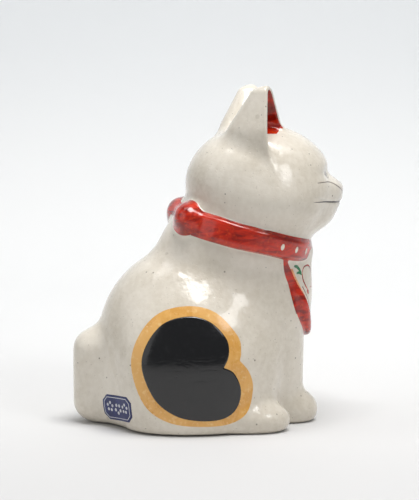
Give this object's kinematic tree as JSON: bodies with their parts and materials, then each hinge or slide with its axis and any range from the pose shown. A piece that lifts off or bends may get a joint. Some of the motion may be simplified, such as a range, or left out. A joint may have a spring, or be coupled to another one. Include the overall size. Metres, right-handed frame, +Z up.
{
  "type": "beckoning cat figurine",
  "caption": "Seated ceramic beckoning cat with one raised paw, red collar and bow, raised bib, and black patches edged in ochre.",
  "frame": {"origin": "centre of the bounding box's bottom, on the table", "axes": "+Z up, the cat faces -Y, its right side is towards -X"},
  "size_m": [0.0892, 0.1238, 0.1527],
  "materials": {
    "cream_glaze": "glossy transparent glaze over cream stoneware with fine iron specks",
    "bare_stoneware": "unglazed fired clay",
    "red_enamel": "glossy overglaze enamel with brush streaks",
    "white_enamel": "glossy white enamel with painted tendrils",
    "black_enamel": "high-gloss black enamel with pinholes",
    "ochre_enamel": "granular ochre enamel",
    "label_paper": "dark blue printed paper seal"
  },
  "bodies": {
    "root": {"torso_shell": "cream_glaze", "head_shell": "cream_glaze", "ear_right": "cream_glaze", "ear_left": "cream_glaze", "foreleg_standing_right": "cream_glaze", "foreleg_raised_left": "cream_glaze", "hind_foot_right": "cream_glaze", "hind_foot_left": "cream_glaze", "tail": "cream_glaze", "base_slab": "bare_stoneware", "ear_enamel_right": "red_enamel", "ear_enamel_left": "red_enamel", "collar_band": "red_enamel", "collar_dots": "white_enamel", "bow_loop_right": "red_enamel", "bow_loop_left": "red_enamel", "bib_panel": "white_enamel", "bib_border": "red_enamel", "patch_right_black": "black_enamel", "patch_left_black": "black_enamel", "patch_brow_black": "black_enamel", "patch_right_ochre": "ochre_enamel", "patch_left_ochre": "ochre_enamel", "patch_brow_ochre": "ochre_enamel", "shop_label": "label_paper"}
  },
  "joints": []
}
